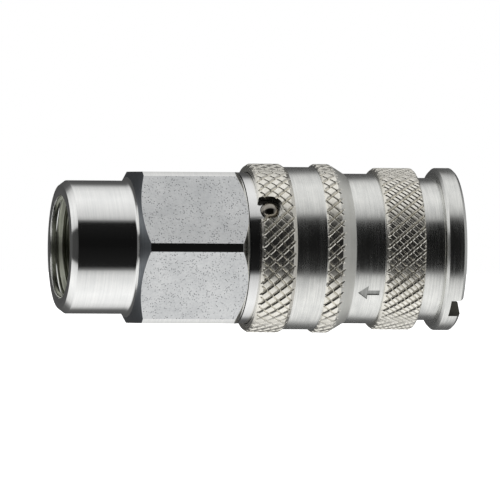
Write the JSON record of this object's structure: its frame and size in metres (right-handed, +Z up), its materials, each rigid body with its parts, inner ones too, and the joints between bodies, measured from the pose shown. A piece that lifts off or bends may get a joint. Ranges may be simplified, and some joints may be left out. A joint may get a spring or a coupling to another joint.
{
  "type": "quick disconnect coupler",
  "caption": "Push-to-connect coupler socket with hexagon, pipe port, sliding knurled release sleeve, locking balls, lock ball in a notch and sprung shut-off poppet.",
  "frame": {"origin": "centre of the rear face of the threaded end, on the coupler's axis", "axes": "+X along the axis towards the mouth that takes the nipple, +Z up, -Y towards the viewer; two flats of the hexagon face +Z and -Z"},
  "size_m": [0.0634, 0.027, 0.0268],
  "materials": {
    "plated_steel_turned": "bright zinc plate over turned steel",
    "plated_steel_sleeve": "bright zinc plate over turned and knurled steel",
    "polished_steel": "nickel plated, polished",
    "spider_steel": "machined",
    "ring_steel": "ground washer",
    "blackened_ring_steel": "blackened spring steel",
    "ball_steel": "polished bearing ball",
    "spring_wire": "drawn stainless wire",
    "valve_brass": "turned brass",
    "seal_rubber": "moulded nitrile rubber",
    "backup_plastic": "turned PTFE"
  },
  "bodies": {
    "body": {"rear_adapter": "plated_steel_turned", "spring_support": "spider_steel", "front_body": "polished_steel", "lock_ball": "ball_steel", "body_seal": "seal_rubber", "nipple_seal": "seal_rubber", "backup_ring": "backup_plastic", "valve_spring": "spring_wire", "sleeve_spring": "spring_wire", "stop_ring": "blackened_ring_steel"},
    "sleeve_carrier": {"sleeve_thrust_ring": "ring_steel"},
    "sleeve": {"release_sleeve": "plated_steel_sleeve"},
    "poppet": {"valve_poppet": "valve_brass", "poppet_seal": "seal_rubber"},
    "ball_1": {"locking_ball_1": "ball_steel"},
    "ball_2": {"locking_ball_2": "ball_steel"},
    "ball_3": {"locking_ball_3": "ball_steel"},
    "ball_4": {"locking_ball_4": "ball_steel"},
    "ball_5": {"locking_ball_5": "ball_steel"},
    "ball_6": {"locking_ball_6": "ball_steel"}
  },
  "joints": [
    {"name": "sleeve_slide", "type": "slide", "parent": "body", "child": "sleeve_carrier", "axis": [1, 0, 0], "range_m": [0, 0.004], "deforming": ["sleeve_spring"]},
    {"name": "sleeve_turn", "type": "hinge", "parent": "sleeve_carrier", "child": "sleeve", "pos_m": [0.0318, 0, 0], "axis": [1, 0, 0], "range_deg": [-1.5, 1.5]},
    {"name": "poppet_slide", "type": "slide", "parent": "body", "child": "poppet", "axis": [-1, 0, 0], "range_m": [0, 0.008], "deforming": ["valve_spring"]},
    {"name": "ball_1_slide", "type": "slide", "parent": "body", "child": "ball_1", "axis": [0, 0, 1], "range_m": [-0.00075, 0]},
    {"name": "ball_2_slide", "type": "slide", "parent": "body", "child": "ball_2", "axis": [0, 0.866, 0.5], "range_m": [-0.00075, 0]},
    {"name": "ball_3_slide", "type": "slide", "parent": "body", "child": "ball_3", "axis": [0, 0.866, -0.5], "range_m": [-0.00075, 0]},
    {"name": "ball_4_slide", "type": "slide", "parent": "body", "child": "ball_4", "axis": [0, 0, -1], "range_m": [-0.00075, 0]},
    {"name": "ball_5_slide", "type": "slide", "parent": "body", "child": "ball_5", "axis": [0, -0.866, -0.5], "range_m": [-0.00075, 0]},
    {"name": "ball_6_slide", "type": "slide", "parent": "body", "child": "ball_6", "axis": [0, -0.866, 0.5], "range_m": [-0.00075, 0]}
  ],
  "couplings": [
    {"joint": "poppet_slide", "follows": "sleeve_slide", "ratio": 2},
    {"joint": "ball_1_slide", "follows": "sleeve_slide", "ratio": -0.1875},
    {"joint": "ball_2_slide", "follows": "sleeve_slide", "ratio": -0.1875},
    {"joint": "ball_3_slide", "follows": "sleeve_slide", "ratio": -0.1875},
    {"joint": "ball_4_slide", "follows": "sleeve_slide", "ratio": -0.1875},
    {"joint": "ball_5_slide", "follows": "sleeve_slide", "ratio": -0.1875},
    {"joint": "ball_6_slide", "follows": "sleeve_slide", "ratio": -0.1875}
  ]
}
